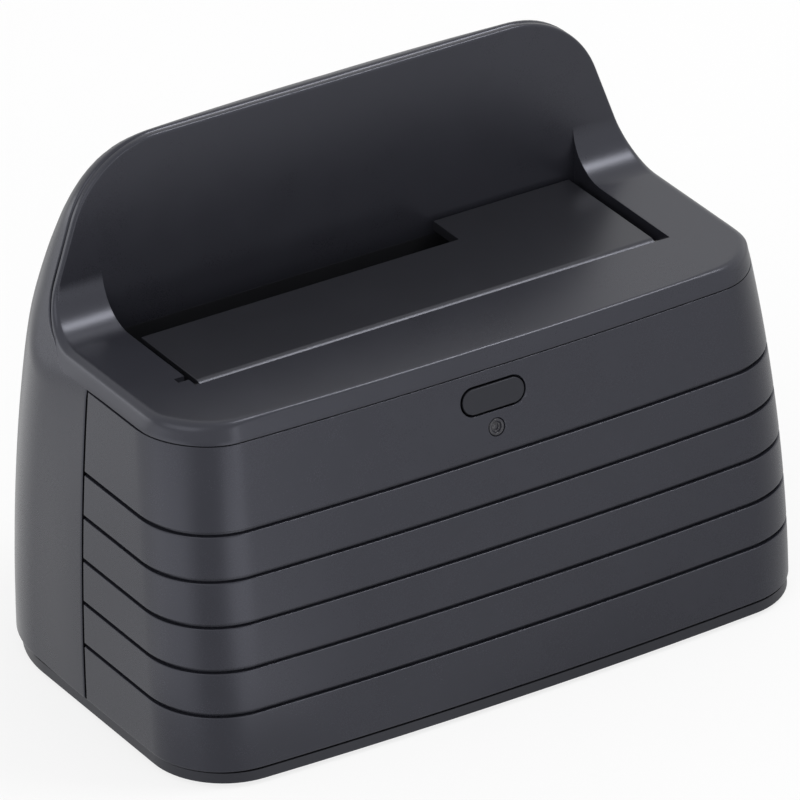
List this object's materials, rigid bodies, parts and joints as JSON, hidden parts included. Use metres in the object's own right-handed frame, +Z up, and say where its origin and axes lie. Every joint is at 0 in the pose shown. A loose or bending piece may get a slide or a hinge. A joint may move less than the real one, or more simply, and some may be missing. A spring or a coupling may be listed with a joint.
{
  "type": "hard drive docking station",
  "caption": "Desktop hard drive dock: a top slot closed by a sprung flap, a tall curved back fin, a grooved wrap-round front with a power button, and rear ports.",
  "frame": {"origin": "on the table, under the middle of the body's box", "axes": "+X to the right seen from the front, -Y towards the front with the button, +Z up"},
  "size_m": [0.1372, 0.084, 0.1024],
  "materials": {
    "cover_plastic": "fine satin charcoal, slightly bluish",
    "shell_plastic": "fine satin charcoal, slightly bluish",
    "base_plastic": "satin charcoal",
    "well_plastic": "matt black",
    "flap_plastic": "fine satin charcoal",
    "button_plastic": "smooth satin charcoal",
    "black_plastic": "moulded black",
    "clear_plastic": "clear moulded",
    "lens_plastic": "smoked, unlit",
    "circuit_board": "green solder mask",
    "cable_plastic": "grey ribbon",
    "cream_plastic": "cream nylon",
    "blue_plastic": "moulded blue",
    "steel": "plated",
    "gilt_contacts": "plated",
    "capacitor_can": "sleeved can",
    "ferrite": "moulded ferrite",
    "rubber": "soft black"
  },
  "bodies": {
    "dock": {"top_cover": "cover_plastic", "front_fascia": "shell_plastic", "rear_shell": "shell_plastic", "base_plate": "base_plastic", "drive_well": "well_plastic", "well_screws": "steel", "flap_hinge_pin": "steel", "flap_spring": "steel", "switch_body": "black_plastic", "switch_board": "circuit_board", "switch_board_screws": "steel", "indicator_led": "clear_plastic", "indicator_lens": "lens_plastic", "ribbon_cable": "cable_plastic", "cable_headers": "cream_plastic", "main_board": "circuit_board", "board_screws": "steel", "sata_socket": "black_plastic", "sata_contacts": "gilt_contacts", "usb_shell": "steel", "usb_tongue": "blue_plastic", "power_jack": "black_plastic", "power_jack_pin": "steel", "bridge_chip": "black_plastic", "capacitors": "capacitor_can", "inductor": "ferrite", "crystal": "steel", "base_screws": "steel", "rubber_feet": "rubber"},
    "flap": {"flap_door": "flap_plastic"},
    "button": {"power_button": "button_plastic"},
    "plunger": {"switch_plunger": "black_plastic"}
  },
  "joints": [
    {"name": "flap_hinge", "type": "hinge", "parent": "dock", "child": "flap", "pos_m": [0, -0.011, 0.06685], "axis": [-1, 0, 0], "range_deg": [0, 86], "stiffness_Nm_per_rad": 0.006, "springref_deg": -34.38},
    {"name": "power_button_press", "type": "slide", "parent": "dock", "child": "button", "axis": [0, 0.9753, -0.2208], "range_m": [0, 0.0008], "stiffness_N_per_m": 1500, "springref_m": -0.0004},
    {"name": "switch_plunger_press", "type": "slide", "parent": "dock", "child": "plunger", "axis": [0, 0.9753, -0.2208], "range_m": [0, 0.0008]}
  ],
  "couplings": [
    {"joint": "switch_plunger_press", "follows": "power_button_press", "ratio": 1}
  ]
}
